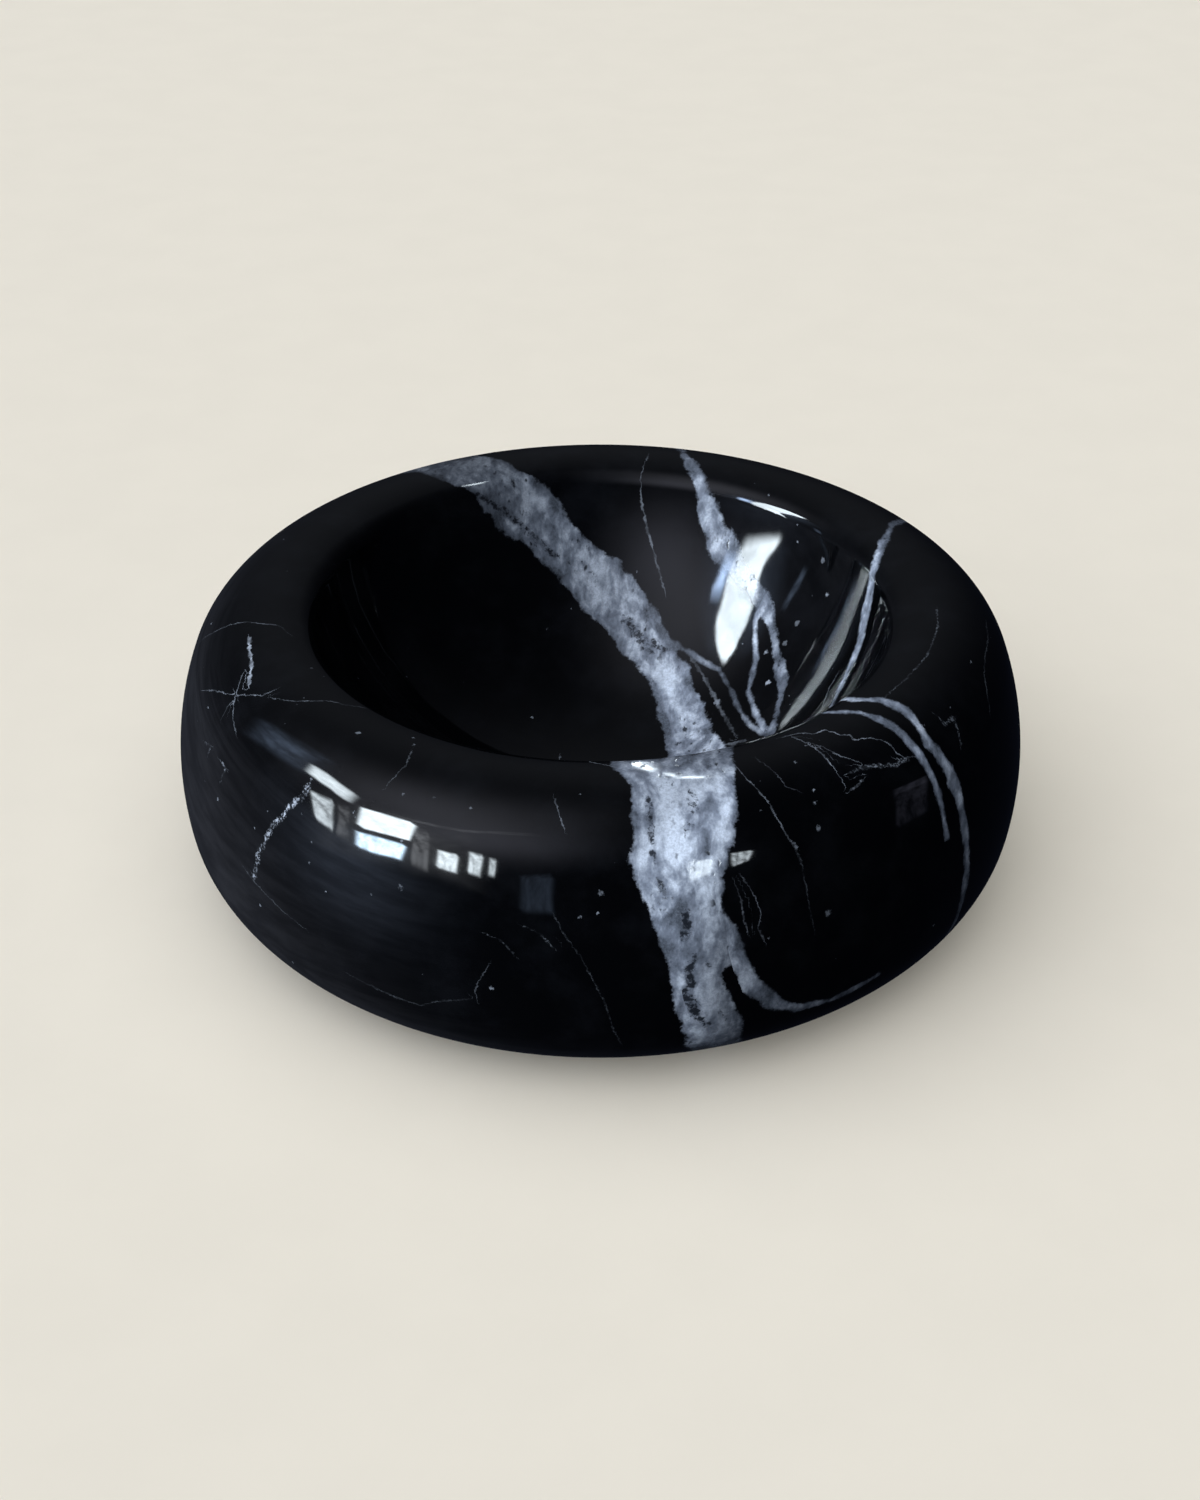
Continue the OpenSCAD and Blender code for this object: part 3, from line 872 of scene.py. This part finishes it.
def make_floor():
    n = Nodes(bpy.data.materials.new("floor"))
    place = n.make("ShaderNodeTexCoord").outputs["Object"]
    grain = n.noise(place, 40, detail=4)
    pale = n.mix(n.step(grain, 0.3, 0.7), FLOOR_COLOUR, tuple(0.985 * c for c in FLOOR_COLOUR))
    shader = n.make("ShaderNodeBsdfPrincipled", {
        "Base Color": pale, "Roughness": 0.9, "Specular IOR Level": 0.1,
    })
    n.make("ShaderNodeOutputMaterial", {"Surface": shader.outputs[0]})
    half = FLOOR_SIZE / 2
    corners = [(-half, -half, 0), (half, -half, 0), (half, half, 0), (-half, half, 0)]
    floor = add_stage("floor", corners, [(0, 1, 2, 3)], n.owner)
    floor.visible_glossy = False
    floor.visible_diffuse = False
    return floor


def toward(azimuth, elevation):
    """The unit vector to a direction in degrees, with 0 behind the bowl and -90 to its left."""
    turn, lift = math.radians(azimuth), math.radians(elevation)
    return Vector((math.sin(turn) * math.cos(lift), math.cos(turn) * math.cos(lift), math.sin(lift)))


# The room, as soft patches of light: azimuth and elevation in degrees, how narrow, colour
ROOM = [
    (-114, 54, 10, (0.64, 0.66, 0.77)),
    (-148, 38, 20, (0.50, 0.52, 0.64)),
    (-116, -7, 20, (0.38, 0.47, 0.66)),
    (-74, -22, 4, (0.12, 0.13, 0.16)),
    (-5, 42, 5, (0.075, 0.08, 0.09)),
]
DARK = (0.004, 0.005, 0.009)


def make_world():
    """Dim surroundings: a pale ceiling to the left, the glow round the windows, and a table below."""
    n = Nodes(bpy.data.worlds.new("studio"))
    bpy.context.scene.world = n.owner
    way = n.make("ShaderNodeTexCoord").outputs["Generated"]
    streaks = n.noise(n.scaled(way, (2.5, 2.5, 16)), 1.0, detail=5, roughness=0.65)
    total = DARK
    for azimuth, elevation, narrow, colour in ROOM:
        middle = toward(azimuth, elevation)
        facing = n.make("ShaderNodeVectorMath", {0: way, 1: middle}, operation="DOT_PRODUCT")
        share = n.math("POWER", n.math("MAXIMUM", facing.outputs["Value"], 0.0), float(narrow))
        if elevation < 0:
            share = n.math("MULTIPLY", share, n.step(streaks, 0.34, 0.66, 0.65, 1.2))
        patch = n.make("ShaderNodeVectorMath", {0: colour, "Scale": share}, operation="SCALE").outputs[0]
        total = n.make("ShaderNodeVectorMath", {0: total, 1: patch}, operation="ADD").outputs[0]
    background = n.make("ShaderNodeBackground", {"Color": total, "Strength": 1.0})
    n.make("ShaderNodeOutputWorld", {"Surface": background.outputs[0]})


# Mirrors: the pieces that a pane lights, and how far off it stands along the mirrored ray, in metres.
# The panes are lights, and neither floor nor backdrop, although they are marked as stage.
MIRRORS = {
    "left": (("black_stone_left",), 0.5),
    "vein": (("main_vein",), 0.15),
    "lip": (("main_vein",), 0.25),
    "front": (("black_stone_front", "branch_vein", "right_vein", "twin_vein"), 0.2),
    "back": (("black_stone_back", "cross_vein"), 2.2),
    "right": (("black_stone_front", "black_stone_island", "back_vein", "loop_vein"), 0.15),
}
SKY = (0.82, 0.93, 1.0)
CURTAIN = (0.80, 0.84, 0.90)
BLUE = (0.50, 0.68, 1.0)
LILAC = (0.6, 0.62, 0.85)
DAYLIGHT = (0.80, 0.90, 1.0)
WHITE = (1, 1, 1)
# Panes, by the edges of the reflections in the photograph, in its pixels: name, mirrors, colour,
# strength, how uneven and how soft at the edges (0 to 1), and the left and right edge from top to bottom
WINDOWS = [
    ("pane_one", "left", SKY, 14, 0.6, 0.3, [(309, 788), (314, 818)], [(335, 800), (333, 833)]),
    ("pane_two_upper", "left", SKY, 32, 0.3, 0.2, [(359, 806), (354, 827)], [(421, 824), (412, 842)]),
    ("pane_two_lower", "left", (0.60, 0.80, 1.0), 40, 0.5, 0.3,
     [(353, 829), (352, 846)],
     [(411, 845), (404, 862)]),
    ("pane_three", "left", SKY, 26, 0.5, 0.3, [(436, 848), (433, 867)], [(460, 854), (459, 874)]),
    ("pane_four", "left", SKY, 22, 0.6, 0.4, [(468, 850), (466, 873)], [(484, 854), (482, 879)]),
    ("pane_five", "left", SKY, 16, 0.6, 0.5, [(488, 856), (487, 877)], [(497, 858), (495, 880)]),
    ("curtain_one", "left", CURTAIN, 2.2, 0.9, 0.3, [(416, 826), (409, 866)], [(432, 832), (428, 875)]),
    ("curtain_two", "left", CURTAIN, 1.6, 0.9, 0.4, [(337, 802), (335, 836)], [(351, 806), (349, 843)]),
    ("window_glow", "left", CURTAIN, 1.2, 0.5, 1.0, [(296, 776), (300, 850)], [(500, 838), (496, 900)]),
    ("high_window", "left", SKY, 22, 0.3, 0.5, [(302, 770), (318, 782), (334, 794), (352, 806)],
     [(309, 761), (325, 771), (343, 784), (362, 798)]),
    ("high_glow", "left", BLUE, 1.8, 0.6, 1.0, [(236, 732), (262, 750), (288, 768), (320, 786)],
     [(256, 712), (284, 728), (310, 744), (344, 764)]),
    ("rail", "left", CURTAIN, 1.0, 0.8, 0.6, [(378, 812), (420, 824), (460, 832), (550, 838)],
     [(378, 809), (420, 821), (460, 829), (550, 834)]),
    ("dim_doorway", "left", BLUE, 0.6, 0.6, 0.4, [(518, 874), (516, 914)], [(556, 871), (557, 918)]),
    ("front_window", "vein", SKY, 14, 0.2, 0.2, [(689, 861), (689, 882)], [(713, 858), (711, 874)]),
    ("front_window_side", "front", SKY, 11, 0.8, 0.3, [(728, 853), (728, 869)], [(755, 849), (749, 861)]),
    ("lip_light", "lip", SKY, 24, 0.4, 0.6,
     [(627, 763), (640, 769), (657, 774)],
     [(628, 760), (644, 763), (660, 770)]),
    ("lip_light_low", "lip", SKY, 32, 0.7, 0.6,
     [(659, 773), (676, 779), (716, 779)],
     [(660, 770), (677, 776), (716, 776)]),
    ("side_frame", "front", LILAC, 0.2, 0.9, 0.3, [(893, 790), (893, 834)], [(930, 774), (930, 812)]),
    ("side_frame_edge", "front", LILAC, 0.35, 0.6, 0.5, [(892, 790), (892, 797)], [(930, 773), (931, 781)]),
    ("hollow_bright", "back right", SKY, 26, 0.25, 0.25,
     [(744, 532), (735, 557), (725, 582), (719, 601), (714, 625), (717, 650), (722, 666)],
     [(787, 531), (784, 541), (773, 554), (765, 565), (760, 578), (758, 595), (752, 613), (746, 627),
      (738, 645), (729, 658), (725, 666)]),
    ("hollow_streak", "back right", BLUE, 28, 0.3, 1.0, [(731, 543), (719, 563), (711, 585), (708, 606)],
     [(744, 550), (735, 570), (726, 588), (717, 608)]),
    ("hollow_glow", "back right", BLUE, 1.2, 0.3, 1.0,
     [(700, 530), (690, 600), (706, 668)],
     [(800, 524), (790, 600), (744, 668)]),
    ("hollow_thin_right", "right", SKY, 9, 0.5, 0.6,
     [(833, 629), (817, 654), (800, 680)],
     [(839, 632), (824, 658), (806, 683)]),
    ("hollow_thin_left", "right", BLUE, 1.6, 0.7, 0.6,
     [(805, 562), (791, 588), (778, 611)],
     [(812, 565), (798, 591), (784, 613)]),
]
WINDOW_CUTS = 6


def mirrored(x, y):
    """Where the bowl shows a pixel of the photograph, and where its reflection goes from there."""
    place, normal, sight = seen_at(x, y)
    return place, sight - 2 * sight.dot(normal) * normal


def glowing(name, colour, strength, uneven, soft):
    """An uneven light, as of a window with a curtain and a view behind it, dimmer toward its edges."""
    n = Nodes(bpy.data.materials.new(name))
    place = n.make("ShaderNodeTexCoord").outputs["Generated"]
    folds = n.noise(n.scaled(place, (4, 4, 2)), 1.0, detail=3, roughness=0.7)
    level = n.step(folds, 0.30, 0.66, strength * (1 - uneven), strength * (1 + 0.35 * uneven))
    level = n.math("MULTIPLY", level, n.step(n.attribute("inward").outputs["Fac"], 0.0, soft))
    shader = n.make("ShaderNodeEmission", {"Color": (*colour, 1), "Strength": level})
    clear = n.make("ShaderNodeBsdfTransparent")
    both = n.make("ShaderNodeAddShader", {0: shader.outputs[0], 1: clear.outputs[0]})
    n.make("ShaderNodeOutputMaterial", {"Surface": both.outputs[0]})
    return n.owner


def light_only(lamp, name, receivers):
    """Limits a light to some pieces."""
    group = bpy.data.collections.new(name + "_receivers")
    for piece in receivers:
        group.objects.link(piece)
    lamp.light_linking.receiver_collection = group


def make_windows():
    for name, mirrors, *look, left, right in WINDOWS:
        for mirror in mirrors.split():
            make_window(f"{name}_{mirror}", mirror, look, left, right)


def make_window(name, mirror, look, left, right):
    """A light whose reflection in a mirror fills the outline between two edges, seen by the camera."""
    nodes, distance = MIRRORS[mirror]
    across = np.linspace(0, 1, WINDOW_CUTS + 1)
    corners = []
    inward = []
    for down in np.linspace(0, 1, (len(left) - 1) * WINDOW_CUTS + 1):
        ends = [
            np.array([np.interp(down * (len(edge) - 1), range(len(edge)), axis) for axis in zip(*edge)])
            for edge in (left, right)
        ]
        for share in across:
            place, leaving = mirrored(*((1 - share) * ends[0] + share * ends[1]))
            corners.append(place + distance * leaving)
            inward.append(2 * min(share, 1 - share, down, 1 - down))
    row = len(across)
    faces = [
        (k, k + 1, k + 1 + row, k + row)
        for first in range(0, len(corners) - row, row) for k in range(first, first + WINDOW_CUTS)
    ]
    pane = add_stage(name, corners, faces, glowing(name, *look))
    set_attribute(pane.data, "inward", "FLOAT", inward)
    pane.visible_camera = False
    pane.visible_diffuse = False
    pane.visible_shadow = False
    light_only(pane, name, [dressed[node] for node in nodes])


def sun(name, energy, spread, colour, azimuth, elevation, receivers, shadow=True):
    """A soft sun that lights some pieces alone and makes no reflection of its own."""
    data = bpy.data.lights.new(name, "SUN")
    data.energy = energy
    data.angle = math.radians(spread)
    data.color = colour
    data.use_shadow = shadow
    lamp = bpy.data.objects.new(name, data)
    lamp.rotation_euler = toward(azimuth, elevation).to_track_quat("Z", "Y").to_euler()
    lamp.visible_glossy = False
    bpy.context.scene.collection.objects.link(lamp)
    light_only(lamp, name, receivers)


floor = make_floor()
make_world()
make_windows()
sun("floor_light", 1.0, 100, WHITE, -130, 70, [floor])
sun("floor_fill", 1.7, 100, WHITE, -130, 70, [floor], shadow=False)
sun("room_fill", 0.9, 60, DAYLIGHT, 180, 65, dressed.values(), shadow=False)
sun("window_light", 4.4, 45, DAYLIGHT, -128, 24, dressed.values())
bpy.context.scene.view_settings.view_transform = "Standard"
